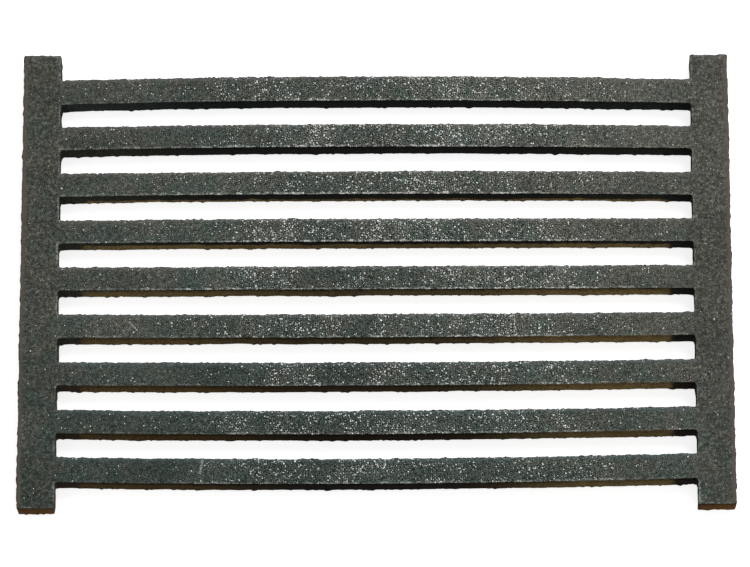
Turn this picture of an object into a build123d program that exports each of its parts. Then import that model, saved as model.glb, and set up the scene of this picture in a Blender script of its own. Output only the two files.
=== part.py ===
from build123d import *
import math
import os

# Cast iron grate: long bars side by side, tied by a wider bar at each end, all one casting.
# Sizes in millimetres. X runs along the bars, Y across them and Z up.
# The origin is under the middle of the grate, on the surface that it lies on.

# Long bars
bar_count = 9
bar_length = 268.0  # clear length between the two end bars
bar_width = 10.4  # inner bars, at the top face
outer_bar_width = 11.1  # first and last bar, at the top face
bar_gap = 10.4  # opening between two inner bars, at the top face
outer_bar_bow = 1.6  # the first and last bar bow outward by this at mid-length

# End bars
end_bar_width = 16.0
end_bar_overhang = 11.25  # how far an end bar runs past the first and last bar

# Casting
thickness = 10.0
draft_angle = 1.0  # every wall leans in by this towards the underside, in degrees
root_radius = 1.2  # inner corners, where a long bar runs into an end bar
corner_radius = 1.0  # outer corners of the end bars
top_edge_radius = 0.5
bottom_edge_radius = 0.5

# Places that follow from the sizes
bar_pitch = bar_width + bar_gap
first_bar_y = bar_pitch * (bar_count - 1) / 2
half_bar_length = bar_length / 2
half_length = half_bar_length + end_bar_width
half_width = first_bar_y + outer_bar_width / 2 + end_bar_overhang
draft_inset = thickness * math.tan(math.radians(draft_angle))


def bar_centre(index):
    """Y of a long bar's middle line, where it meets the end bars."""
    return index * bar_pitch - first_bar_y


def bar_half_width(index):
    """Half the width of a long bar at the top face."""
    if index in (0, bar_count - 1):
        return outer_bar_width / 2
    return bar_width / 2


def bar_bow(index):
    """How far a long bar bows towards +Y at mid-length, more the further out it lies."""
    return outer_bar_bow * bar_centre(index) / first_bar_y


def bowed_edge(half_span, y, bow):
    """Long edge of a bar: an arc through the bow, or a straight line where there is none."""
    start = (-half_span, y)
    finish = (half_span, y)
    if math.isclose(bow, 0.0, abs_tol=1e-6):
        return Line(start, finish)
    return ThreePointArc(start, (0, y + bow), finish)


def grate_outline():
    """Plan of the whole grate at the top face, with the end bars standing past the first and last bar."""
    last = bar_count - 1
    front_y = bar_centre(0) - bar_half_width(0)
    back_y = bar_centre(last) + bar_half_width(last)
    front_edge = bowed_edge(half_bar_length, front_y, bar_bow(0))
    back_edge = bowed_edge(half_bar_length, back_y, bar_bow(last))
    right_end = Polyline(
        (half_bar_length, front_y),
        (half_bar_length, -half_width),
        (half_length, -half_width),
        (half_length, half_width),
        (half_bar_length, half_width),
        (half_bar_length, back_y),
    )
    left_end = Polyline(
        (-half_bar_length, back_y),
        (-half_bar_length, half_width),
        (-half_length, half_width),
        (-half_length, -half_width),
        (-half_bar_length, -half_width),
        (-half_bar_length, front_y),
    )
    outline = make_face([front_edge, *right_end.edges(), back_edge, *left_end.edges()])
    roots = [corner for corner in outline.vertices() if abs(corner.Y) < half_width - end_bar_overhang / 2]
    outline = fillet(roots, root_radius)
    corners = [corner for corner in outline.vertices() if abs(corner.Y) > half_width - end_bar_overhang / 2]
    return fillet(corners, corner_radius)


def slot_outline(index):
    """Plan of the gap between a long bar and the next one at the underside, where the gap is widest."""
    half_span = half_bar_length + draft_inset
    front_y = bar_centre(index) + bar_half_width(index) - draft_inset
    back_y = bar_centre(index + 1) - bar_half_width(index + 1) + draft_inset
    front_edge = bowed_edge(half_span, front_y, bar_bow(index))
    back_edge = bowed_edge(half_span, back_y, bar_bow(index + 1))
    right_end = Line((half_span, front_y), (half_span, back_y))
    left_end = Line((-half_span, back_y), (-half_span, front_y))
    slot = make_face([front_edge, right_end, back_edge, left_end])
    return fillet(slot.vertices(), root_radius + draft_inset)


def make_grate():
    """The whole casting: a drafted plate, cut through between the bars, with its edges rounded."""
    plate = extrude(grate_outline(), amount=thickness, taper=draft_angle)
    grate = Pos(0, 0, thickness) * Rot(180, 0, 0) * plate
    for index in range(bar_count - 1):
        grate -= extrude(slot_outline(index), amount=thickness, taper=draft_angle)
    grate = fillet(grate.faces().sort_by(Axis.Z)[-1].edges(), top_edge_radius)
    return fillet(grate.faces().sort_by(Axis.Z)[0].edges(), bottom_edge_radius)


os.makedirs("parts", exist_ok=True)
export_step(make_grate(), "parts/grate.step")
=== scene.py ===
"""Cast iron grate: a sand-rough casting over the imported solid, its finishes, floor, light and camera."""

import logging
import math
import random
from dataclasses import dataclass
from enum import Enum, IntEnum
from typing import NamedTuple

import bmesh
import bpy
from mathutils import Matrix, Vector, noise


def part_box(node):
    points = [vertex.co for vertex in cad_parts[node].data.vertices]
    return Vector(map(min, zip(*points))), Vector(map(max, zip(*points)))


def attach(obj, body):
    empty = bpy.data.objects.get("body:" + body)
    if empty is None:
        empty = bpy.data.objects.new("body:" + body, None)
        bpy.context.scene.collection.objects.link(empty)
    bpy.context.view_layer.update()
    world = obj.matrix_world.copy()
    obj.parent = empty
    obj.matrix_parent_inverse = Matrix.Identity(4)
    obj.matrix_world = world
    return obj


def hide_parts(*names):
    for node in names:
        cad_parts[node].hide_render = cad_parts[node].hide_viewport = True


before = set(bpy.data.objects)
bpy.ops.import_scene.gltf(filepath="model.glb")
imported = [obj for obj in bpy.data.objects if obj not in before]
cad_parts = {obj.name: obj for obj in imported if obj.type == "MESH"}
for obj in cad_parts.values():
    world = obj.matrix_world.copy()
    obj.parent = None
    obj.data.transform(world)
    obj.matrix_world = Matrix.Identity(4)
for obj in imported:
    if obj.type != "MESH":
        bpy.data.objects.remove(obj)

MM = 0.001
LOG = logging.getLogger("grate")

Socket = bpy.types.NodeSocket
Value = Socket | float
Colour = tuple[float, float, float]


class Span(NamedTuple):
    """A ramp: where it begins and ends, and what it gives there."""

    low: float
    high: float
    start: float = 0.0
    end: float = 1.0


class Cloud(NamedTuple):
    """A cloudy noise: size of its features, octaves of finer noise and the share that these keep."""

    size: float
    detail: float = 2.0
    roughness: float = 0.5


class Zone(Enum):
    """Point attributes that tell the finishes where on the casting they are."""

    EDGE = "edge_distance"
    FRONT = "faces_front"


class Axis(IntEnum):
    """Directions of the casting: along the bars, across them and up."""

    X = 0
    Y = 1
    Z = 2


class Skin(Enum):
    """Material slots of the casting."""

    TOP = 0
    WALL = 1


class NodeSheet:
    """A node tree with short calls for the nodes that the finishes use."""

    def __init__(self, tree: bpy.types.NodeTree) -> None:
        """Empty a node tree, to start it afresh.

        Args:
            tree: the tree of a material or a world.
        """
        self.tree = tree
        self.tree.nodes.clear()

    def node(self, kind: str, **settings: object) -> bpy.types.Node:
        """Add a node.

        Args:
            kind: Blender's name of the node type.
            settings: properties to set on the node.

        Returns:
            The new node.
        """
        made = self.tree.nodes.new(kind)
        for key, setting in settings.items():
            setattr(made, key, setting)
        return made

    def feed(self, socket: Socket, value: object) -> None:
        """Link an output into an input, or set the input's own value.

        Args:
            socket: the input.
            value: an output socket, a number, a colour or a vector.
        """
        if isinstance(value, Socket):
            self.tree.links.new(value, socket)
        elif isinstance(value, tuple) and socket.type == "RGBA":
            socket.default_value = (*value, 1.0)
        else:
            socket.default_value = value

    def math(self, operation: str, first: Value, second: Value = 0.0) -> Socket:
        """Combine two numbers.

        Args:
            operation: Blender's name of the operation.
            first: first number.
            second: second number.

        Returns:
            The result.
        """
        made = self.node("ShaderNodeMath", operation=operation)
        self.feed(made.inputs[0], first)
        self.feed(made.inputs[1], second)
        return made.outputs[0]

    def product(self, first: Value, *others: Value) -> Socket:
        """Multiply numbers.

        Args:
            first: first number.
            others: the numbers to multiply it by.

        Returns:
            The product.
        """
        result = first
        for other in others:
            result = self.math("MULTIPLY", result, other)
        return result

    def ramp(
        self, value: Value, low: Value, high: Value, start: Value = 0.0, end: Value = 1.0
    ) -> Socket:
        """Carry a number smoothly from one range to another, clamped at both ends.

        Args:
            value: the number.
            low: where the ramp begins.
            high: where the ramp ends.
            start: result at low.
            end: result at high.

        Returns:
            The ramped number.
        """
        made = self.node("ShaderNodeMapRange", interpolation_type="SMOOTHSTEP")
        names = ("Value", "From Min", "From Max", "To Min", "To Max")
        for name, amount in zip(names, (value, low, high, start, end)):
            self.feed(made.inputs[name], amount)
        return made.outputs["Result"]

    def swing(self, value: Value, amount: Value) -> Socket:
        """Centre a 0 to 1 pattern on zero and scale it."""
        return self.math("MULTIPLY", self.math("SUBTRACT", value, 0.5), amount)

    def blend(self, factor: Value, first: object, second: object) -> Socket:
        """Blend two colours.

        Args:
            factor: 0 gives the first colour and 1 the second.
            first: first colour.
            second: second colour.

        Returns:
            The blended colour.
        """
        made = self.node("ShaderNodeMix", data_type="RGBA", clamp_factor=True)
        colours = [port for port in made.inputs if port.type == "RGBA"]
        self.feed(made.inputs[0], factor)
        self.feed(colours[0], first)
        self.feed(colours[1], second)
        return next(port for port in made.outputs if port.type == "RGBA")

    def scaled(self, colour: object, amount: Value) -> Socket:
        """Make a colour lighter or darker.

        Args:
            colour: the colour.
            amount: how many times as bright.

        Returns:
            The scaled colour.
        """
        made = self.node("ShaderNodeVectorMath", operation="SCALE")
        self.feed(made.inputs[0], colour)
        self.feed(made.inputs["Scale"], amount)
        return made.outputs[0]

    def grain(self, place: Socket, size: float, detail: float = 2.0, roughness: float = 0.5) -> Socket:
        """Cloudy noise with features of a given size.

        Args:
            place: where the noise is read.
            size: size of a feature in metres.
            detail: octaves of finer noise.
            roughness: share that the finer noise keeps.

        Returns:
            The noise, about 0.5 on average.
        """
        made = self.node("ShaderNodeTexNoise", noise_dimensions="3D")
        self.feed(made.inputs["Vector"], place)
        self.feed(made.inputs["Scale"], 1.0 / size)
        self.feed(made.inputs["Detail"], detail)
        self.feed(made.inputs["Roughness"], roughness)
        return made.outputs[0]

    def dots(self, place: Socket, size: float) -> tuple[Socket, Socket, Socket, Socket]:
        """Scattered points, one to a cell, seen from above.

        Args:
            place: where the pattern is read.
            size: size of a cell in metres.

        Returns:
            Distance to the point in cells, and three random numbers of the cell.
        """
        cells = self.node("ShaderNodeTexVoronoi", voronoi_dimensions="2D", feature="F1")
        self.feed(cells.inputs["Vector"], place)
        self.feed(cells.inputs["Scale"], 1.0 / size)
        draw = self.node("ShaderNodeSeparateColor")
        self.feed(draw.inputs[0], cells.outputs["Color"])
        return (cells.outputs["Distance"], *draw.outputs)

    def shaken(self, place: Socket, size: float, amount: float) -> Socket:
        """Push a place about, so that a pattern read there gets uneven outlines.

        Args:
            place: the place.
            size: size of the unevenness in metres.
            amount: how far the place moves at most, in metres.

        Returns:
            The moved place.
        """
        stir = self.node("ShaderNodeTexNoise", noise_dimensions="3D")
        self.feed(stir.inputs["Vector"], place)
        self.feed(stir.inputs["Scale"], 1.0 / size)
        self.feed(stir.inputs["Detail"], 0.0)
        made = self.node("ShaderNodeVectorMath", operation="MULTIPLY_ADD")
        self.feed(made.inputs[0], stir.outputs["Color"])
        self.feed(made.inputs[1], (2.0 * amount, 2.0 * amount, 0.0))
        self.feed(made.inputs[2], place)
        return made.outputs[0]

    def zone(self, zone: Zone) -> Socket:
        """Read one of the casting's point attributes."""
        return self.node("ShaderNodeAttribute", attribute_name=zone.value).outputs["Fac"]

    def bump(self, height: Value, strength: float, depth: float) -> Socket:
        """Shade a fine relief.

        Args:
            height: the relief, about 0 to 1.
            strength: how much of it shows, from 0 to 1.
            depth: its depth in metres.

        Returns:
            The shaded normal.
        """
        made = self.node("ShaderNodeBump")
        self.feed(made.inputs["Strength"], strength)
        self.feed(made.inputs["Distance"], depth)
        self.feed(made.inputs["Height"], height)
        return made.outputs["Normal"]

    def iron(self, colour: Socket, roughness: Value, specular: float, normal: Socket) -> None:
        """Shade the surface as cast iron.

        Args:
            colour: colour of the skin.
            roughness: how matt it is, from 0 to 1.
            specular: strength of its reflections.
            normal: the shaded normal.
        """
        shader = self.node("ShaderNodeBsdfPrincipled")
        self.feed(shader.inputs["Base Color"], colour)
        self.feed(shader.inputs["Roughness"], roughness)
        self.feed(shader.inputs["Specular IOR Level"], specular)
        self.feed(shader.inputs["Normal"], normal)
        self.surface(shader)

    def surface(self, shader: bpy.types.Node) -> None:
        """Send a shader to the material's output."""
        output = self.node("ShaderNodeOutputMaterial")
        self.feed(output.inputs["Surface"], shader.outputs[0])


def new_material(name: str) -> tuple[bpy.types.Material, NodeSheet]:
    """Start a node material.

    Args:
        name: name of the material.

    Returns:
        The material and its empty node sheet.
    """
    material = bpy.data.materials.new(name)
    material.use_nodes = True
    return material, NodeSheet(material.node_tree)


def seen_ray(sheet: NodeSheet) -> Socket:
    """Tell rays that show the background from rays that carry light.

    Args:
        sheet: the nodes to add to.

    Returns:
        1 for camera, glossy and transmission rays, and 0 for the rest.
    """
    path = sheet.node("ShaderNodeLightPath").outputs
    shown = sheet.math("MAXIMUM", path["Is Camera Ray"], path["Is Glossy Ray"])
    return sheet.math("MAXIMUM", shown, path["Is Transmission Ray"])


class Spot:
    """The place on the casting that a finish is read at."""

    def __init__(self, sheet: NodeSheet) -> None:
        """Read the object's own coordinates.

        Args:
            sheet: the material's nodes.
        """
        self.place = sheet.node("ShaderNodeTexCoord").outputs["Object"]
        axes = sheet.node("ShaderNodeSeparateXYZ")
        sheet.feed(axes.inputs[0], self.place)
        self.x, self.y, self.z = axes.outputs
        self.reach = sheet.math("ABSOLUTE", self.x)


@dataclass(frozen=True)
class Scuff:
    """A pale rubbed streak on a top face."""

    x: float
    y: float
    length: float
    width: float
    turn: float
    strength: float
    fade_along: Span = Span(1.0, 0.6)
    fade_across: Span = Span(1.0, 0.2)

    def mask(self, sheet: NodeSheet, place: Socket) -> Socket:
        """Make the streak's mask.

        Args:
            sheet: the nodes to add to.
            place: where the pattern is read.

        Returns:
            The streak's strength on it and 0 beside it.
        """
        own = sheet.node("ShaderNodeMapping", vector_type="TEXTURE")
        sheet.feed(own.inputs["Vector"], place)
        sheet.feed(own.inputs["Location"], (self.x, self.y, 0.0))
        sheet.feed(own.inputs["Rotation"], (0.0, 0.0, self.turn))
        sheet.feed(own.inputs["Scale"], (self.length / 2, self.width / 2, 1.0))
        axes = sheet.node("ShaderNodeSeparateXYZ")
        sheet.feed(axes.inputs[0], own.outputs[0])
        along = sheet.ramp(sheet.math("ABSOLUTE", axes.outputs["X"]), *self.fade_along)
        across = sheet.ramp(sheet.math("ABSOLUTE", axes.outputs["Y"]), *self.fade_across)
        return sheet.product(along, across, self.strength)


@dataclass(frozen=True)
class SandSkin:
    """As-cast top skin: grey-green sand grain, pale specks as painted glints, pale rims as painted
    highlights, a painted light falloff and brown outer edges.
    """

    name: str = "cast_iron_top"
    specular: float = 0.1
    roughness: Span = Span(0.3, 0.7, 0.78, 0.62)
    relief_strength: float = 0.6
    relief_depth: float = 0.16 * MM

    # Where the skin is busiest, and how grain, clumps and pits change from the still ends to there
    busy_middle: float = 14.0 * MM
    busy_reach: Span = Span(132.0 * MM, 10.0 * MM)
    busy_tone: Span = Span(0.0, 1.0, 0.12, -0.26)
    end_bar: Span = Span(132.0 * MM, 136.0 * MM)
    fine_grain: Cloud = Cloud(0.32 * MM, 1.0, 0.55)
    still_contrast: Span = Span(0.0, 1.0, 9.5, 7.5)
    busy_contrast: float = 25.0
    brightest_grain: float = 2.0
    clumps: Cloud = Cloud(1.3 * MM, 2.0, 0.6)
    still_clumps: Span = Span(0.0, 1.0, 3.6, 5.0)
    busy_clumps: float = 1.8
    blotches: Cloud = Cloud(24.0 * MM)
    blotch_depth: float = 1.3
    pit_size: float = 0.8 * MM
    pit_edge: Span = Span(0.5, 0.2)
    pit_chance: Span = Span(0.7, 0.5)
    pit_depth: Span = Span(0.0, 1.0, 0.9, 3.5)

    # Tint, from green to warm
    green: Colour = (0.0450, 0.0622, 0.0530)
    warm: Colour = (0.0605, 0.0612, 0.0512)
    tint_cloud: Cloud = Cloud(12.0 * MM, 2.0, 0.6)
    tint_noise: Span = Span(0.34, 0.66, -0.26, 0.40)
    tint_across: tuple[Span, ...] = (
        Span(-80.0 * MM, -15.0 * MM, 0.0, 0.36),
        Span(0.0 * MM, 90.0 * MM, 0.0, 0.13),
    )
    tint_along: tuple[Span, ...] = (
        Span(25.0 * MM, 105.0 * MM, 0.0, 0.42),
        Span(-60.0 * MM, -120.0 * MM, 0.0, 0.17),
        Span(126.0 * MM, 137.0 * MM, 0.0, 0.25),
        Span(-126.0 * MM, -137.0 * MM, 0.0, 0.22),
    )

    # Painted light falloff: slow change of tone over the whole grate
    back_tone: Span = Span(-100.0 * MM, 30.0 * MM, 0.84, 1.03)
    right_tone: Span = Span(-30.0 * MM, 75.0 * MM, 0.98, 1.13)
    left_end: Span = Span(-128.0 * MM, -134.0 * MM)
    left_end_tone: Span = Span(0.0 * MM, 80.0 * MM, 1.0, 1.16)
    right_end: Span = Span(126.0 * MM, 134.0 * MM)
    right_end_tone: Span = Span(-100.0 * MM, 70.0 * MM, 0.98, 0.82)
    far_rows: Span = Span(30.0 * MM, 80.0 * MM)
    far_tone: Span = Span(-105.0 * MM, 75.0 * MM, -0.14, 0.12)

    # Pale specks, painted glints of the sand grains, with painted shade in dark pockets around them; radii
    # and edges in cells of the pattern
    speck: Colour = (0.95, 0.98, 0.92)
    speck_size: float = 0.8 * MM
    speck_share: Span = Span(0.12, 1.0, 0.065, 0.44)
    speck_bars: Span = Span(137.0 * MM, 122.0 * MM, 0.15, 1.0)
    speck_rows: Span = Span(-80.0 * MM, 20.0 * MM, 0.78, 1.0)
    cluster_cloud: Cloud = Cloud(7.0 * MM, 2.0, 0.6)
    cluster_noise: Span = Span(0.38, 0.66)
    cluster_fewest: Span = Span(0.0, 1.0, 0.0, 0.3)
    cluster_most: Span = Span(0.0, 1.0, 2.8, 1.5)
    patch_cloud: Cloud = Cloud(22.0 * MM)
    patch_noise: Span = Span(0.35, 0.65, 0.6, 1.4)
    shake_size: float = 0.7 * MM
    shake: float = 0.3 * MM
    speck_radius: Span = Span(0.3, 1.0, 0.18, 0.42)
    speck_growth: Span = Span(0.0, 0.6, 0.8, 1.0)
    speck_core: float = 0.8
    speck_light: Span = Span(-0.2, 0.85, 0.2, 1.0)
    speck_relief: float = 0.4
    glint_shade_edge: Span = Span(0.7, 0.4)
    glint_shade_depth: float = 0.62

    # Painted highlight: a pale broken line where the rounded top edges catch the light, strongest on the
    # front edges
    rim: Colour = (0.77, 0.79, 0.75)
    rim_width: Span = Span(0.3, 0.7, 0.35 * MM, 0.9 * MM)
    rim_core: float = 0.3
    rim_dabs: Cloud = Cloud(2.2 * MM, 3.0, 0.65)
    rim_breaks: Span = Span(0.38, 0.64, 0.12, 1.0)
    rim_stretches: Cloud = Cloud(26.0 * MM, 1.0)
    rim_stretch: Span = Span(0.35, 0.65, 0.55, 1.2)
    rim_middle: float = 25.0 * MM
    rim_rows: Span = Span(20.0 * MM, 60.0 * MM, 1.0, 0.5)
    rim_busy: Span = Span(0.0, 0.7, 0.4, 1.0)
    rim_front: float = 0.8
    rim_elsewhere: float = 0.2
    rim_wander: Cloud = Cloud(3.5 * MM, 2.0, 0.6)
    rim_inset: Span = Span(0.3, 0.7, 0.0, 0.7 * MM)
    crumb_cloud: Cloud = Cloud(0.5 * MM, 1.0)
    crumbs: Span = Span(0.40, 0.62, 0.08, 1.35)

    # Thin haze along the back edges, cooler towards the front of the grate
    haze: Colour = (0.168, 0.163, 0.157)
    cool_haze: Colour = (0.110, 0.155, 0.165)
    cool_rows: Span = Span(20.0 * MM, -60.0 * MM)
    haze_width: float = 3.0 * MM
    haze_most: float = 0.55
    haze_grain: Span = Span(0.35, 0.65, 0.25, 1.0)

    # Brown fringe along the outer edges of the end bars
    fringe: Colour = (0.104, 0.084, 0.067)
    fringe_cloud: Cloud = Cloud(3.0 * MM, 2.0, 0.6)
    fringe_swing: float = 2.0 * MM
    fringe_reach: Span = Span(147.1 * MM, 149.6 * MM, 0.0, 0.85)

    scuff_grain: Span = Span(0.35, 0.6)
    scuffs: tuple[Scuff, ...] = (
        Scuff(-102.0 * MM, -21.0 * MM, 6.5 * MM, 0.7 * MM, math.radians(-48.0), 0.55),
        Scuff(-73.0 * MM, -82.5 * MM, 8.0 * MM, 1.6 * MM, math.radians(80.0), 0.30),
    )

    def material(self) -> bpy.types.Material:
        """Make the material.

        Returns:
            The finished material.
        """
        material, sheet = new_material(self.name)
        spot = Spot(sheet)
        off_middle = sheet.math("ABSOLUTE", sheet.math("SUBTRACT", spot.x, self.busy_middle))
        busy = sheet.ramp(off_middle, *self.busy_reach)
        fine = sheet.grain(spot.place, *self.fine_grain)
        glints, glint_shade = self._glints(sheet, spot, busy)
        colour = self._skin(sheet, spot, fine, busy)
        # Darken by the painted shade around the glints and by the painted light falloff
        colour = sheet.scaled(colour, sheet.product(glint_shade, self._light_falloff(sheet, spot)))
        haze = sheet.blend(sheet.ramp(spot.y, *self.cool_rows), self.haze, self.cool_haze)
        colour = sheet.blend(self._hazed(sheet, fine), colour, haze)
        # Painted highlight along the top edges
        colour = sheet.blend(self._rim_highlight(sheet, spot, busy), colour, self.rim)
        colour = sheet.blend(self._fringe(sheet, spot), colour, self.fringe)
        # Painted glints
        colour = sheet.blend(glints, colour, self.speck)
        for scuff in self.scuffs:
            rubbed = sheet.product(scuff.mask(sheet, spot.place), sheet.ramp(fine, *self.scuff_grain))
            colour = sheet.blend(rubbed, colour, self.speck)
        height = sheet.math("ADD", fine, sheet.math("MULTIPLY", glints, self.speck_relief))
        normal = sheet.bump(height, self.relief_strength, self.relief_depth)
        sheet.iron(colour, sheet.ramp(fine, *self.roughness), self.specular, normal)
        return material

    def _skin(self, sheet: NodeSheet, spot: Spot, fine: Socket, busy: Socket) -> Socket:
        """Colour of the bare skin: two close tints, grain, dark pits and slow blotches.

        Args:
            sheet: the material's nodes.
            spot: where the patterns are read.
            fine: fine grain.
            busy: 1 at mid-length of the bars and 0 at the ends.

        Returns:
            The colour.
        """
        tint = sheet.ramp(sheet.grain(spot.place, *self.tint_cloud), *self.tint_noise)
        for trend in self.tint_across:
            tint = sheet.math("ADD", tint, sheet.ramp(spot.y, *trend))
        for trend in self.tint_along:
            tint = sheet.math("ADD", tint, sheet.ramp(spot.x, *trend))
        clump = sheet.grain(spot.place, *self.clumps)
        blotch = sheet.grain(spot.place, *self.blotches)
        distance, chance, depth, _ = sheet.dots(spot.place, self.pit_size)
        pit = sheet.product(
            sheet.ramp(distance, *self.pit_edge), sheet.ramp(chance, *self.pit_chance), depth
        )
        on_end = sheet.ramp(spot.reach, *self.end_bar)
        still_contrast = sheet.ramp(on_end, *self.still_contrast)
        still_clumps = sheet.ramp(on_end, *self.still_clumps)
        contrast = sheet.ramp(busy, 0.0, 1.0, still_contrast, self.busy_contrast)
        clouds = sheet.ramp(busy, 0.0, 1.0, still_clumps, self.busy_clumps)
        tone = sheet.math("MINIMUM", sheet.swing(fine, contrast), self.brightest_grain)
        tone = sheet.math("ADD", tone, sheet.swing(blotch, self.blotch_depth))
        tone = sheet.math("ADD", tone, sheet.swing(clump, clouds))
        tone = sheet.math("ADD", tone, sheet.ramp(busy, *self.busy_tone))
        tone = sheet.math("SUBTRACT", tone, sheet.product(pit, sheet.ramp(busy, *self.pit_depth)))
        return sheet.scaled(sheet.blend(tint, self.green, self.warm), sheet.math("POWER", 2.0, tone))

    def _light_falloff(self, sheet: NodeSheet, spot: Spot) -> Socket:
        """Painted light falloff: slow change of tone over the whole grate, darker towards the front and
        the left.

        Args:
            sheet: the material's nodes.
            spot: where the patterns are read.

        Returns:
            How bright the painted light leaves the skin, about 1 on average.
        """
        back = sheet.ramp(spot.y, *self.back_tone)
        right = sheet.ramp(spot.x, *self.right_tone)
        left_tone = sheet.ramp(spot.y, *self.left_end_tone)
        first = sheet.ramp(spot.x, self.left_end.low, self.left_end.high, 1.0, left_tone)
        right_tone = sheet.ramp(spot.y, *self.right_end_tone)
        last = sheet.ramp(spot.x, self.right_end.low, self.right_end.high, 1.0, right_tone)
        far = sheet.product(sheet.ramp(spot.y, *self.far_rows), sheet.ramp(spot.x, *self.far_tone))
        return sheet.product(back, right, first, last, sheet.math("ADD", 1.0, far))

    def _glints(self, sheet: NodeSheet, spot: Spot, busy: Socket) -> tuple[Socket, Socket]:
        """Pale specks, painted glints of the sand grains, in loose clusters, closer together at mid-length
        of the bars.

        Args:
            sheet: the material's nodes.
            spot: where the pattern is read.
            busy: 1 at mid-length of the bars and 0 at the ends.

        Returns:
            How much a point is a painted glint, from 0 to 1, and how bright the skin stays in the painted
            shade around the glints.
        """
        fewest = sheet.ramp(busy, *self.cluster_fewest)
        most = sheet.ramp(busy, *self.cluster_most)
        cluster = sheet.grain(spot.place, *self.cluster_cloud)
        cluster = sheet.ramp(cluster, self.cluster_noise.low, self.cluster_noise.high, fewest, most)
        patch = sheet.ramp(sheet.grain(spot.place, *self.patch_cloud), *self.patch_noise)
        on_bar = sheet.ramp(spot.reach, *self.speck_bars)
        back = sheet.ramp(spot.y, *self.speck_rows)
        share = sheet.product(sheet.ramp(busy, *self.speck_share), cluster, patch, on_bar, back)
        uneven = sheet.shaken(spot.place, self.shake_size, self.shake)
        distance, chance, strength, size = sheet.dots(uneven, self.speck_size)
        shown = sheet.math("LESS_THAN", chance, share)
        outer = sheet.product(sheet.ramp(size, *self.speck_radius), sheet.ramp(busy, *self.speck_growth))
        dot = sheet.ramp(distance, outer, sheet.math("MULTIPLY", outer, self.speck_core))
        lit = sheet.ramp(strength, *self.speck_light)
        # Painted shade: a dark ring around each glint
        shade_ring = sheet.product(shown, sheet.ramp(distance, *self.glint_shade_edge), self.glint_shade_depth)
        return sheet.product(shown, dot, lit), sheet.math("SUBTRACT", 1.0, shade_ring)

    def _rim_highlight(self, sheet: NodeSheet, spot: Spot, busy: Socket) -> Socket:
        """Painted highlight: a pale broken line along the top edges, strongest on the front edges.

        Args:
            sheet: the material's nodes.
            spot: where the pattern is read.
            busy: 1 at mid-length of the bars and 0 at the ends.

        Returns:
            How much a point is lit by the painted highlight, from 0 to 1.
        """
        dabs = sheet.grain(spot.place, *self.rim_dabs)
        stretch = sheet.ramp(sheet.grain(spot.place, *self.rim_stretches), *self.rim_stretch)
        off_middle = sheet.math("ABSOLUTE", sheet.math("SUBTRACT", spot.y, self.rim_middle))
        row = sheet.ramp(off_middle, *self.rim_rows)
        stretch = sheet.product(stretch, row, sheet.ramp(busy, *self.rim_busy))
        front = sheet.math("MULTIPLY", sheet.zone(Zone.FRONT), self.rim_front)
        front = sheet.math("ADD", front, self.rim_elsewhere)
        width = sheet.ramp(dabs, *self.rim_width)
        inset = sheet.ramp(sheet.grain(spot.place, *self.rim_wander), *self.rim_inset)
        off_line = sheet.math("ABSOLUTE", sheet.math("SUBTRACT", sheet.zone(Zone.EDGE), inset))
        line = sheet.ramp(off_line, width, sheet.math("MULTIPLY", width, self.rim_core))
        crumbs = sheet.ramp(sheet.grain(spot.place, *self.crumb_cloud), *self.crumbs)
        return sheet.product(line, sheet.ramp(dabs, *self.rim_breaks), crumbs, stretch, front)

    def _hazed(self, sheet: NodeSheet, fine: Socket) -> Socket:
        """Thin pale haze along the back edges of the bars.

        Args:
            sheet: the material's nodes.
            fine: fine grain.

        Returns:
            How much a point is hazed, from 0 to 1.
        """
        inward = sheet.math("DIVIDE", sheet.zone(Zone.EDGE), self.haze_width)
        near = sheet.math("MAXIMUM", sheet.math("SUBTRACT", 1.0, inward), 0.0)
        near = sheet.math("MINIMUM", sheet.math("POWER", near, 2.0), self.haze_most)
        back = sheet.math("SUBTRACT", 1.0, sheet.zone(Zone.FRONT))
        return sheet.product(near, back, sheet.ramp(fine, *self.haze_grain))

    def _fringe(self, sheet: NodeSheet, spot: Spot) -> Socket:
        """Brown fringe along the outer long edges of the end bars.

        Args:
            sheet: the material's nodes.
            spot: where the pattern is read.

        Returns:
            How much a point is brown, from 0 to 1.
        """
        ragged = sheet.swing(sheet.grain(spot.place, *self.fringe_cloud), self.fringe_swing)
        return sheet.ramp(sheet.math("ADD", spot.reach, ragged), *self.fringe_reach)


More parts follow.
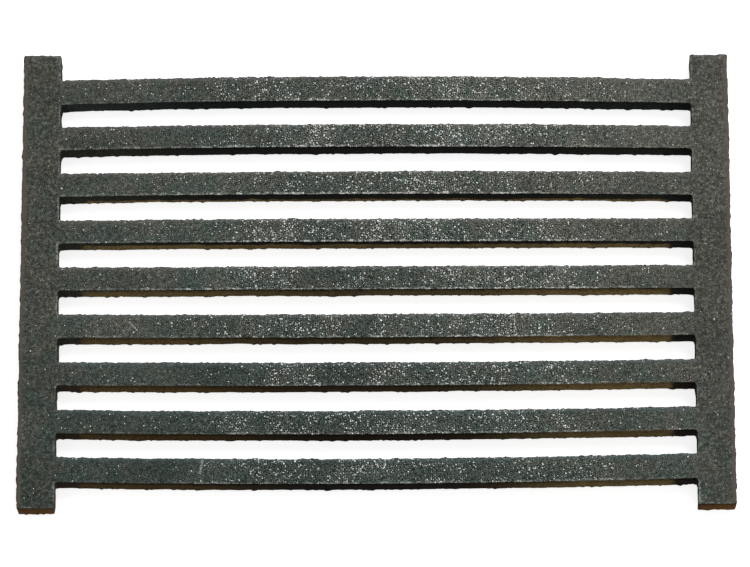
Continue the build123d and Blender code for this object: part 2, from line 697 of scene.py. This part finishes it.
@dataclass(frozen=True)
class WallSkin:
    """Walls and underside: near-black scale, a brown of painted warm light that climbs to the front and
    lies on the end bars, painted shade and painted floor bounce.
    """

    name: str = "cast_iron_wall"
    specular: float = 0.03
    roughness: float = 0.9
    relief_strength: float = 0.5
    relief_depth: float = 0.2 * MM
    thickness: float = 10.0 * MM
    fine_grain: Cloud = Cloud(0.7 * MM, 2.0, 0.6)
    grain_tone: Span = Span(0.25, 0.75, 0.25, 1.8)
    patches: Cloud = Cloud(6.0 * MM, 3.0, 0.6)
    # Painted bounce light from the floor: the walls lighter towards the foot
    floor_bounce_tone: Span = Span(10.0 * MM, 1.0 * MM, 0.85, 1.35)

    # Scale, colder at the back, warmer at the front, and its tone along the bars
    scale: Colour = (0.016, 0.016, 0.013)
    cold_scale: Colour = (0.0145, 0.018, 0.017)
    cold_rows: Span = Span(55.0 * MM, 75.0 * MM)
    warm_scale: Colour = (0.0205, 0.0150, 0.0095)
    warm_rows: Span = Span(-15.0 * MM, -60.0 * MM)
    scale_tones: tuple[Span, ...] = (
        Span(-130.0 * MM, -60.0 * MM, 3.2, 1.0),
        Span(60.0 * MM, 100.0 * MM, 1.0, 1.5),
        # The last tone darkens everything from 120 mm to the right, next to and on the right end bar:
        # painted shade
        Span(120.0 * MM, 128.0 * MM, 1.0, 0.65),
    )

    # Painted warm light on the bars' walls: a brown that climbs to the front, deeper at the left of the
    # front
    warm_light: Colour = (0.285, 0.202, 0.085)
    deep_warm_light: Colour = (0.275, 0.172, 0.060)
    deep_columns: Span = Span(20.0 * MM, -60.0 * MM)
    deep_rows: Span = Span(-5.0 * MM, -50.0 * MM)
    warm_light_start: float = 59.0 * MM
    warm_light_climb: float = 15.5
    warm_light_wave: float = 0.5
    warm_light_edge: Span = Span(-0.05, 0.1)
    warm_light_ends: Span = Span(125.5 * MM, 122.5 * MM)
    warm_light_columns: Span = Span(-90.0 * MM, 80.0 * MM)
    warm_light_left: Span = Span(18.0 * MM, -50.0 * MM, 0.97, 0.52)
    warm_light_foot: Span = Span(0.2 * MM, 1.3 * MM, 0.6, 1.0)
    warm_light_head: Span = Span(0.98, 0.55)
    warm_light_head_tone: Span = Span(0.0, 1.0, 0.4, 0.75)
    bright_head_columns: Span = Span(20.0 * MM, 80.0 * MM)
    bright_head_rows: Span = Span(62.0 * MM, 80.0 * MM)
    warm_light_ahead: Span = Span(0.0, 0.8, 0.2, 1.0)
    warm_light_patches: Span = Span(0.2, 0.8, 0.7, 1.1)

    # Painted shade at mid-length, over the painted warm light, and on the walls nearest to the front
    mid_shade_reach: Span = Span(90.0 * MM, 25.0 * MM)
    mid_shade_rows: Span = Span(30.0 * MM, -80.0 * MM, 0.3, 0.96)
    front_shade_rows: Span = Span(-50.0 * MM, -92.0 * MM)
    front_shade_bars: Span = Span(134.0 * MM, 133.0 * MM)
    front_shade_columns: Span = Span(90.0 * MM, 25.0 * MM, 0.62, 0.85)
    front_shade_right: Span = Span(40.0 * MM, 90.0 * MM, 1.0, 0.9)

    # Painted warm light on the walls of the end bars, a brown strongest on their front faces
    end_warm_light: Colour = (0.125, 0.058, 0.015)
    end_light_sides: Span = Span(-1.0 * MM, 1.0 * MM, 0.78, 1.0)
    end_light_reach: Span = Span(134.0 * MM, 136.0 * MM)
    end_light_ahead: Span = Span(0.0, 0.8, 0.4, 0.85)
    end_light_height: Span = Span(10.0 * MM, 6.0 * MM, 0.6, 1.0)
    end_light_patches: Span = Span(0.2, 0.8, 0.75, 1.1)

    def material(self) -> bpy.types.Material:
        """Make the material.

        Returns:
            The finished material.
        """
        material, sheet = new_material(self.name)
        spot = Spot(sheet)
        fine = sheet.grain(spot.place, *self.fine_grain)
        cloud = sheet.grain(spot.place, *self.patches)
        colour = sheet.blend(sheet.ramp(spot.y, *self.cold_rows), self.scale, self.cold_scale)
        colour = sheet.blend(sheet.ramp(spot.y, *self.warm_rows), colour, self.warm_scale)
        for tone in self.scale_tones:
            colour = sheet.scaled(colour, sheet.ramp(spot.x, *tone))
        # Painted warm light: a brown over the scale of the bars' walls
        deep = sheet.product(sheet.ramp(spot.x, *self.deep_columns), sheet.ramp(spot.y, *self.deep_rows))
        warm_light = sheet.blend(deep, self.warm_light, self.deep_warm_light)
        colour = sheet.blend(self._warm_light_cover(sheet, spot, cloud), colour, warm_light)
        # Painted warm light on the end bars
        end_warm_light = sheet.scaled(self.end_warm_light, sheet.ramp(spot.x, *self.end_light_sides))
        colour = sheet.blend(self._end_light_cover(sheet, spot, cloud), colour, end_warm_light)
        colour = sheet.scaled(colour, sheet.ramp(fine, *self.grain_tone))
        # Painted bounce light from the floor, lighter towards the foot
        colour = sheet.scaled(colour, sheet.ramp(spot.z, *self.floor_bounce_tone))
        # Painted shade on the walls nearest to the front
        colour = sheet.scaled(colour, self._shade(sheet, spot))
        normal = sheet.bump(fine, self.relief_strength, self.relief_depth)
        sheet.iron(colour, self.roughness, self.specular, normal)
        return material

    def _shade(self, sheet: NodeSheet, spot: Spot) -> Socket:
        """Painted shade on the walls of the bars nearest to the front.

        Args:
            sheet: the material's nodes.
            spot: where the patterns are read.

        Returns:
            How bright the wall stays, from 0 to 1.
        """
        forward = sheet.ramp(spot.y, *self.front_shade_rows)
        between = sheet.ramp(spot.reach, *self.front_shade_bars)
        middle = sheet.ramp(spot.reach, *self.front_shade_columns)
        right = sheet.ramp(spot.x, *self.front_shade_right)
        return sheet.math("SUBTRACT", 1.0, sheet.product(forward, between, middle, right))

    def _warm_light_cover(self, sheet: NodeSheet, spot: Spot, cloud: Socket) -> Socket:
        """How much of the painted warm light shows: a brown with a painted shadow edge that climbs to the
        front, left out next to the end bars as their painted shadow.

        Args:
            sheet: the material's nodes.
            spot: where the patterns are read.
            cloud: patchy noise.

        Returns:
            Cover of the painted warm light, from 0 to 1.
        """
        height = sheet.math("DIVIDE", spot.z, self.thickness)
        forward = sheet.math("SUBTRACT", self.warm_light_start, spot.y)
        climb = sheet.math("MULTIPLY", forward, self.warm_light_climb)
        edge = sheet.math("ADD", climb, sheet.swing(cloud, self.warm_light_wave))
        cover = sheet.ramp(sheet.math("SUBTRACT", edge, height), *self.warm_light_edge)
        # Painted shadow of the end bars: no warm light next to them
        inner = sheet.ramp(spot.reach, *self.warm_light_ends)
        # Painted shade at mid-length, over the painted warm light
        middle = sheet.ramp(spot.reach, *self.mid_shade_reach)
        mid_shade = sheet.product(middle, sheet.ramp(spot.y, *self.mid_shade_rows))
        mid_unshaded = sheet.math("SUBTRACT", 1.0, mid_shade)
        left = sheet.ramp(spot.y, *self.warm_light_left)
        left_fade = sheet.ramp(spot.x, self.warm_light_columns.low, self.warm_light_columns.high, left, 1.0)
        full_light = sheet.product(
            sheet.ramp(spot.x, *self.bright_head_columns), sheet.ramp(forward, *self.bright_head_rows)
        )
        head_tone = sheet.ramp(full_light, *self.warm_light_head_tone)
        head = sheet.ramp(height, self.warm_light_head.low, self.warm_light_head.high, head_tone, 1.0)
        ahead = sheet.ramp(sheet.zone(Zone.FRONT), *self.warm_light_ahead)
        foot = sheet.ramp(spot.z, *self.warm_light_foot)
        patchy = sheet.ramp(cloud, *self.warm_light_patches)
        return sheet.product(cover, inner, mid_unshaded, left_fade, head, ahead, foot, patchy)

    def _end_light_cover(self, sheet: NodeSheet, spot: Spot, cloud: Socket) -> Socket:
        """How much of the painted warm light on the end bars shows.

        Args:
            sheet: the material's nodes.
            spot: where the patterns are read.
            cloud: patchy noise.

        Returns:
            Cover of the painted warm light, from 0 to 1.
        """
        outer = sheet.ramp(spot.reach, *self.end_light_reach)
        ahead = sheet.ramp(sheet.zone(Zone.FRONT), *self.end_light_ahead)
        head = sheet.ramp(spot.z, *self.end_light_height)
        return sheet.product(outer, ahead, head, sheet.ramp(cloud, *self.end_light_patches))


@dataclass(frozen=True)
class SandRelief:
    """Sizes and heights of the unevenness that sand casting leaves, in millimetres."""

    lump_size: float = 2.6
    lump_height: float = 0.06
    rim_lump_height: float = 0.16
    swell_size: float = 9.0
    swell_height: float = 0.08
    grit_height: float = 0.025
    rim_grit_height: float = 0.11
    wave_length: float = 5.0
    wave_drop: float = 14.0
    wave_height: float = 0.16
    sway_length: float = 19.0
    sway_spacing: float = 6.0
    sway_layer: float = 0.5
    sway_height: float = 0.22
    burr_length: float = 1.6
    burr_spacing: float = 4.0
    burr_layer: float = 3.5
    burr_floor: float = 0.1
    burr_height: float = 0.7

    def height(
        self, place: Vector, grit: float, on_rim: float, on_wall: float, on_foot: float
    ) -> float:
        """How far the skin stands out at a place.

        Args:
            place: the place, in millimetres.
            grit: a random number of the place.
            on_rim: 1 on the rounded top edges and 0 elsewhere.
            on_wall: 0 on the top faces and 1 on the walls.
            on_foot: 1 on the rounded bottom edges and 0 elsewhere.

        Returns:
            The height in millimetres, less than 0 where the skin lies deeper.
        """
        lumps = noise.noise(place / self.lump_size) * (self.lump_height + self.rim_lump_height * on_rim)
        lumps += noise.noise(place / self.swell_size) * self.swell_height
        ragged = grit * (self.grit_height + self.rim_grit_height * on_rim)
        at_wave = Vector(
            (place.x / self.wave_length, place.y / self.wave_length, place.z / self.wave_drop)
        )
        waves = noise.noise(at_wave) * self.wave_height * on_wall
        at_sway = Vector((place.x / self.sway_length, place.y / self.sway_spacing, self.sway_layer))
        sway = noise.noise(at_sway) * self.sway_height * on_wall
        at_burr = Vector((place.x / self.burr_length, place.y / self.burr_spacing, self.burr_layer))
        burr = max(noise.noise(at_burr) - self.burr_floor, 0.0) * self.burr_height * on_foot
        return lumps + ragged + waves + sway + burr


@dataclass
class Grate:
    """The casting: long bars side by side between two end bars."""

    node: str = "grate"
    body: str = "root"
    slot: str = "cast_iron"
    bar_count: int = 9
    bar_width: float = 10.4 * MM
    outer_bar_width: float = 11.1 * MM
    bar_gap: float = 10.4 * MM
    outer_bar_bow: float = 1.6 * MM
    end_bar_width: float = 16.0 * MM
    edge_round: float = 0.5 * MM
    corner_round: float = 1.0 * MM
    root_round: float = 1.2 * MM
    draft: float = math.radians(1.0)
    fan: float = 0.0043
    columns_per_bar: int = 352
    columns_per_end: int = 20
    rows_per_bar: int = 7
    rows_per_gap: int = 10
    wall_rows: int = 4
    flattest_wall: float = 0.6
    root_reach: float = 2.5 * MM
    root_gather: float = 0.7
    root_fade: float = 1.5
    front_strip: float = 2.0 * MM
    # Weights of the front side on the end bars, which set the painted highlight along the top edges
    front_strip_front_weight: float = 1.5
    notch_front_weight: float = 2.2
    end_front_weight: float = 0.3
    relief: SandRelief = SandRelief()
    seed: int = 7

    def __post_init__(self) -> None:
        """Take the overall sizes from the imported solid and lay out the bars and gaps."""
        low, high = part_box(self.node)
        self.half_length = high.x
        self.half_width = high.y
        self.thickness = high.z - low.z
        self.half_bar_length = self.half_length - self.end_bar_width
        self.pitch = self.bar_width + self.bar_gap
        self.first_bar_y = self.pitch * (self.bar_count - 1) / 2
        lines = self._strip_lines()
        self.gaps = list(zip(lines[0::2], lines[1::2]))

    def bar_centre(self, index: int) -> float:
        """Y of a bar's middle line at the end bars."""
        return index * self.pitch - self.first_bar_y

    def bar_half_width(self, index: int) -> float:
        """Half a bar's width at the top face."""
        outermost = index in (0, self.bar_count - 1)
        return (self.outer_bar_width if outermost else self.bar_width) / 2

    def nearest_bar(self, y: float) -> int:
        """Number of the bar that lies nearest to a place across the grate."""
        index = round((y + self.first_bar_y) / self.pitch)
        return min(max(index, 0), self.bar_count - 1)

    def edge_distance(self, place: Vector) -> float:
        """How far a place on the top face lies in from the nearest edge.

        Args:
            place: the place, before the bars are bowed.

        Returns:
            The distance.
        """
        past_bars = max(abs(place.x) - self.half_bar_length, 0.0)
        nearest = min(self.half_length - abs(place.x), self.half_width - abs(place.y))
        for low, high in self.gaps:
            beside = max(low - place.y, place.y - high, 0.0)
            nearest = min(nearest, math.hypot(past_bars, beside))
        return nearest

    def front_side(self, place: Vector) -> float:
        """Tell the front half of a bar's top face from its back half.

        Args:
            place: the place, before the bars are bowed.

        Returns:
            1 on the front half of a bar, more on an end bar's edges at the front, and less elsewhere.
        """
        if abs(place.x) > self.half_bar_length:
            inner = abs(place.x) < self.half_bar_length + self.end_bar_width / 2
            if place.y < self.front_strip - self.half_width:
                return self.front_strip_front_weight
            if inner:
                return self.notch_front_weight if place.y < self.bar_centre(0) else 1.0
            return self.end_front_weight
        return 1.0 if place.y < self.bar_centre(self.nearest_bar(place.y)) else 0.0

    def build(self) -> bpy.types.Object:
        """Model the casting.

        Returns:
            The finished object, at the origin.
        """
        bm = bmesh.new()
        self._lay_plan(bm)
        self._sink_walls(bm)
        self._round_edges(bm)
        self._refine(bm)
        self._gather_at_roots(bm)
        self._mark_zones(bm)
        self._lean_and_bow(bm)
        self._round_corners(bm)
        self._fill_roots(bm)
        self._roughen(bm)
        mesh = bpy.data.meshes.new("grate_casting")
        bm.to_mesh(mesh)
        bm.free()
        mesh.shade_smooth()
        casting = bpy.data.objects.new("grate_casting", mesh)
        bpy.context.scene.collection.objects.link(casting)
        return casting

    def dress(self, casting: bpy.types.Object, top: SandSkin, wall: WallSkin) -> None:
        """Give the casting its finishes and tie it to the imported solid.

        Args:
            casting: the modelled object.
            top: finish of the top faces and their rims.
            wall: finish of the walls and the underside.
        """
        casting.data.materials.append(top.material())
        casting.data.materials.append(wall.material())
        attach(casting, self.body)
        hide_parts(self.node)

    def _strip_lines(self) -> list[float]:
        """Find where bars and gaps meet.

        Returns:
            Y of every line between a bar and a gap, from front to back, with the two outer ends.
        """
        lines = [-self.half_width]
        for index in range(self.bar_count):
            lines.append(self.bar_centre(index) - self.bar_half_width(index))
            lines.append(self.bar_centre(index) + self.bar_half_width(index))
        lines.append(self.half_width)
        return lines

    def _lay_plan(self, bm: bmesh.types.BMesh) -> None:
        """Lay the plan at the top face as one grid, and cut the gaps away.

        Args:
            bm: the mesh being made.
        """
        across = self._strip_lines()
        along = [-self.half_length, -self.half_bar_length, self.half_bar_length, self.half_length]
        bmesh.ops.create_grid(bm, x_segments=len(along) - 1, y_segments=len(across) - 1, size=1.0)
        for vert in bm.verts:
            column = round((vert.co.x + 1.0) / 2.0 * (len(along) - 1))
            row = round((vert.co.y + 1.0) / 2.0 * (len(across) - 1))
            vert.co = Vector((along[column], across[row], self.thickness))
        gaps = [face for face in bm.faces if self._is_gap(face)]
        bmesh.ops.delete(bm, geom=gaps, context="FACES")

    def _is_gap(self, face: bmesh.types.BMFace) -> bool:
        """Tell whether a face of the plan lies between two bars or past the outermost one.

        Args:
            face: a face of the plan.

        Returns:
            Whether the face is a gap.
        """
        middle = face.calc_center_median()
        between = any(low < middle.y < high for low, high in self.gaps)
        return between and abs(middle.x) < self.half_bar_length

    def _sink_walls(self, bm: bmesh.types.BMesh) -> None:
        """Extrude the plan down to the underside.

        Args:
            bm: the mesh being made.
        """
        sunk = bmesh.ops.extrude_face_region(bm, geom=bm.faces[:])
        lower = [item for item in sunk["geom"] if isinstance(item, bmesh.types.BMVert)]
        bmesh.ops.translate(bm, vec=(0.0, 0.0, -self.thickness), verts=lower)
        bmesh.ops.recalc_face_normals(bm, faces=bm.faces[:])

    def _round_edges(self, bm: bmesh.types.BMesh) -> None:
        """Round every outward edge of the casting.

        Args:
            bm: the mesh being made.
        """
        sharp = math.radians(60.0)
        edges = [edge for edge in bm.edges if edge.is_convex and edge.calc_face_angle(0.0) > sharp]
        bmesh.ops.bevel(
            bm, geom=edges, offset=self.edge_round, affect="EDGES", segments=2, profile=0.5, material=-1
        )

    def _refine(self, bm: bmesh.types.BMesh) -> None:
        """Divide the long faces into small ones, evenly along each direction, and sort them by skin.

        Args:
            bm: the mesh being made.
        """
        shortest = 3.0 * MM
        longest_end = 2.0 * self.end_bar_width
        self._divide(bm, Axis.X, longest_end, math.inf, self.columns_per_bar)
        self._divide(bm, Axis.X, shortest, longest_end, self.columns_per_end)
        self._divide(bm, Axis.Y, shortest, math.inf, self.rows_per_bar, across_gap=False)
        self._divide(bm, Axis.Y, shortest, math.inf, self.rows_per_gap, across_gap=True)
        self._divide(bm, Axis.Z, shortest, math.inf, self.wall_rows)
        bm.normal_update()
        for face in bm.faces:
            face.material_index = (Skin.TOP if face.normal.z > self.flattest_wall else Skin.WALL).value

    def _divide(
        self,
        bm: bmesh.types.BMesh,
        axis: Axis,
        least: float,
        most: float,
        parts: int,
        across_gap: bool | None = None,
    ) -> None:
        """Divide the edges that run along one axis and whose length lies within limits.

        Edges under the long bars stay whole across the bar, because nothing shows there.

        Args:
            bm: the mesh being made.
            axis: the axis.
            least: shortest edge to divide.
            most: longest edge to divide.
            parts: number of parts.
            across_gap: whether to take only the edges beside a gap, only the others, or both.
        """
        least_share = 0.8
        edges = []
        for edge in bm.edges:
            start, end = (vert.co for vert in edge.verts)
            span = end - start
            on_bar = abs(start.x) < self.half_bar_length - MM
            under_bar = axis is Axis.Y and on_bar and max(start.z, end.z) < MM
            beside_gap = any(low < (start.y + end.y) / 2 < high for low, high in self.gaps)
            wanted = across_gap is None or across_gap == beside_gap
            along_axis = abs(span[axis]) > least_share * span.length
            if along_axis and least < span.length < most and wanted and not under_bar:
                edges.append(edge)
        bmesh.ops.subdivide_edges(bm, edges=edges, cuts=parts - 1, use_grid_fill=False)

    def _gather_at_roots(self, bm: bmesh.types.BMesh) -> None:
        """Draw columns and rows closer together at the inner corners, where the walls follow an arc.

        Args:
            bm: the mesh being made.
        """
        for vert in bm.verts:
            index = self.nearest_bar(vert.co.y)
            beside = vert.co.y - self.bar_centre(index)
            along = self.half_bar_length - abs(vert.co.x)
            across = abs(beside) - self.bar_half_width(index)
            if along > 0.0:
                near = math.exp(-((along / self.root_reach) ** 2))
                vert.co.x += math.copysign(self.root_gather * along * near, vert.co.x)
            if across > 0.0:
                near = math.exp(-((across / self.root_reach) ** 2))
                vert.co.y -= math.copysign(self.root_gather * across * near, beside)

    def _mark_zones(self, bm: bmesh.types.BMesh) -> None:
        """Write the point attributes that the finishes read.

        Args:
            bm: the mesh being made.
        """
        edge = bm.verts.layers.float.new(Zone.EDGE.value)
        front = bm.verts.layers.float.new(Zone.FRONT.value)
        for vert in bm.verts:
            if vert.co.z > self.thickness - self.edge_round:
                vert[edge] = self.edge_distance(vert.co)
                vert[front] = self.front_side(vert.co)
            else:
                vert[front] = min(max(-vert.normal.y, 0.0), 1.0)

    def _lean_and_bow(self, bm: bmesh.types.BMesh) -> None:
        """Lean the walls in towards the underside, bow the bars outward and fan them a little.

        Args:
            bm: the mesh being made.
        """
        slope = math.tan(self.draft)
        for vert in bm.verts:
            inset = (self.thickness - vert.co.z) * slope
            centre = self.bar_centre(self.nearest_bar(vert.co.y))
            bow = self.outer_bar_bow * centre / self.first_bar_y
            along = min(abs(vert.co.x) / self.half_bar_length, 1.0)
            vert.co.x -= vert.normal.x * inset
            vert.co.y += bow * (1.0 - along * along) - vert.normal.y * inset
            vert.co.y *= 1.0 - self.fan * vert.co.x / self.half_length

    def _round_corners(self, bm: bmesh.types.BMesh) -> None:
        """Round the corners of the end bars in plan, both the outer and the inner ones.

        Args:
            bm: the mesh being made.
        """
        reach = self.end_bar_width / 2 - self.corner_round
        for vert in bm.verts:
            middle = math.copysign(self.half_length - self.end_bar_width / 2, vert.co.x)
            centre_x = middle + math.copysign(reach, vert.co.x - middle)
            centre_y = math.copysign(self.half_width - self.corner_round, vert.co.y)
            off_x = abs(vert.co.x - middle) - reach
            off_y = abs(vert.co.y) - abs(centre_y)
            if off_x > 0.0 and off_y > 0.0:
                pull = max(off_x, off_y) / math.hypot(off_x, off_y)
                vert.co.x = centre_x + (vert.co.x - centre_x) * pull
                vert.co.y = centre_y + (vert.co.y - centre_y) * pull

    def _fill_roots(self, bm: bmesh.types.BMesh) -> None:
        """Bring the walls onto an arc at the inner corners, where a bar runs into an end bar.

        Args:
            bm: the mesh being made.
        """
        radius = self.root_round
        for vert in bm.verts:
            index = self.nearest_bar(vert.co.y)
            beside = vert.co.y - self.bar_centre(index)
            along = self.half_bar_length - abs(vert.co.x)
            across = abs(beside) - self.bar_half_width(index)
            to_centre = (radius - max(along, 0.0), radius - max(across, 0.0))
            away = math.hypot(*to_centre)
            if min(to_centre) > 0.0 and away > radius:
                depth = math.hypot(min(along, 0.0), min(across, 0.0))
                pull = (1.0 - radius / away) * max(0.0, 1.0 - depth / (self.root_fade * radius))
                vert.co.x -= math.copysign(to_centre[0] * pull, vert.co.x)
                vert.co.y += math.copysign(to_centre[1] * pull, beside)

    def _roughen(self, bm: bmesh.types.BMesh) -> None:
        """Give the skin the lumps of sand casting, with ragged rims and wavy walls.

        Args:
            bm: the mesh being made.
        """
        draw = random.Random(self.seed)
        slack = 0.05
        bm.normal_update()
        moves = []
        for vert in bm.verts:
            depth = (self.thickness - vert.co.z) / self.edge_round
            on_rim = 1.0 if slack < depth < 1.0 + slack else 0.0
            on_wall = min(max(depth, 0.0), 1.0)
            on_foot = 1.0 if vert.co.z < (1.0 + slack) * self.edge_round else 0.0
            grit = draw.gauss(0.0, 1.0)
            height = self.relief.height(vert.co / MM, grit, on_rim, on_wall, on_foot)
            moves.append(vert.normal * (height * MM))
        for vert, move in zip(bm.verts, moves):
            vert.co += move
            vert.co.z = max(vert.co.z, 0.0)


@dataclass(frozen=True)
class Floor:
    """Plain white floor that stays white in the picture and keeps the object's shadow."""

    half_size: float = 4.0
    drop: float = 0.05 * MM
    colour: Colour = (0.78, 0.78, 0.78)
    glow: float = 0.78

    def build(self) -> bpy.types.Object:
        """Make the floor.

        Returns:
            The floor's object.
        """
        bm = bmesh.new()
        bmesh.ops.create_grid(bm, x_segments=1, y_segments=1, size=self.half_size)
        bmesh.ops.translate(bm, vec=(0.0, 0.0, -self.drop), verts=bm.verts[:])
        mesh = bpy.data.meshes.new("floor")
        bm.to_mesh(mesh)
        bm.free()
        floor = bpy.data.objects.new("floor", mesh)
        bpy.context.scene.collection.objects.link(floor)
        mesh.materials.append(self._material())
        return floor

    def _material(self) -> bpy.types.Material:
        """Make the floor's matt white, which glows only towards the camera and in reflections.

        Returns:
            The finished material.
        """
        material, sheet = new_material("floor_white")
        matt = sheet.node("ShaderNodeBsdfDiffuse")
        sheet.feed(matt.inputs["Color"], self.colour)
        glow = sheet.node("ShaderNodeEmission")
        sheet.feed(glow.inputs["Strength"], sheet.math("MULTIPLY", seen_ray(sheet), self.glow))
        both = sheet.node("ShaderNodeAddShader")
        sheet.feed(both.inputs[0], matt.outputs[0])
        sheet.feed(both.inputs[1], glow.outputs[0])
        sheet.surface(both)
        return material


@dataclass(frozen=True)
class Softbox:
    """A square area lamp that looks at the object."""

    name: str
    place: tuple[float, float, float]
    size: float
    power: float

    def build(self) -> bpy.types.Object:
        """Make the lamp.

        Returns:
            The lamp's object.
        """
        lamp = bpy.data.lights.new(self.name, "AREA")
        lamp.size = self.size
        lamp.energy = self.power
        made = bpy.data.objects.new(self.name, lamp)
        made.location = self.place
        made.rotation_euler = (-Vector(self.place)).to_track_quat("-Z", "Y").to_euler()
        bpy.context.scene.collection.objects.link(made)
        return made


@dataclass(frozen=True)
class Studio:
    """White surroundings and a soft lamp at a plain level."""

    sky: float = 0.42
    key: Softbox = Softbox("key_softbox", (0.6, 0.75, 1.05), 0.9, 14.0)

    def build(self) -> None:
        """Make the surroundings and the lamp."""
        world = bpy.data.worlds.new("studio")
        bpy.context.scene.world = world
        world.use_nodes = True
        sheet = NodeSheet(world.node_tree)
        back = sheet.node("ShaderNodeBackground")
        sheet.feed(back.inputs["Color"], (1.0, 1.0, 1.0))
        sheet.feed(back.inputs["Strength"], sheet.ramp(seen_ray(sheet), 0.0, 1.0, self.sky, 1.0))
        output = sheet.node("ShaderNodeOutputWorld")
        sheet.feed(output.inputs["Surface"], back.outputs[0])
        self.key.build()


@dataclass(frozen=True)
class Viewpoint:
    """The camera, a little to the front of straight above the grate."""

    tilt: float = math.radians(17.89)
    pan: float = math.radians(-0.47)
    roll: float = math.radians(0.25)
    distance: float = 2.41154
    aside: float = 0.36 * MM
    above: float = 2.47 * MM
    focal_pixels: float = 5722.8
    picture_width: int = 750
    sensor_width: float = 36.0

    def build(self, target: Vector) -> bpy.types.Object:
        """Make the camera and use it.

        Args:
            target: middle of the top face.

        Returns:
            The camera's object.
        """
        lens = bpy.data.cameras.new("viewpoint")
        lens.sensor_fit = "HORIZONTAL"
        lens.sensor_width = self.sensor_width
        lens.lens = self.focal_pixels * self.sensor_width / self.picture_width
        camera = bpy.data.objects.new("viewpoint", lens)
        turn = Matrix.Rotation(self.roll, 4, "Z") @ Matrix.Rotation(self.pan, 4, "Y")
        turn = turn @ Matrix.Rotation(-self.tilt, 4, "X")
        into_view = Matrix.Translation((self.aside, self.above, -self.distance)) @ turn
        camera.matrix_world = Matrix.Translation(target) @ into_view.inverted()
        bpy.context.scene.collection.objects.link(camera)
        bpy.context.scene.camera = camera
        return camera


def main() -> None:
    """Build the casting, the floor, the light and the camera, and note the sizes."""
    logging.basicConfig(level=logging.INFO, format="%(name)s: %(message)s")
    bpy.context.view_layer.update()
    grate = Grate()
    casting = grate.build()
    grate.dress(casting, SandSkin(), WallSkin())
    casting.data.calc_loop_triangles()
    LOG.info("%s: %d triangles", casting.name, len(casting.data.loop_triangles))
    floor = Floor().build()
    LOG.info("%s: stage", floor.name)
    Studio().build()
    Viewpoint().build(Vector((0.0, 0.0, grate.thickness)))
    bpy.context.scene.view_settings.view_transform = "Standard"


if __name__ == "__main__":
    main()
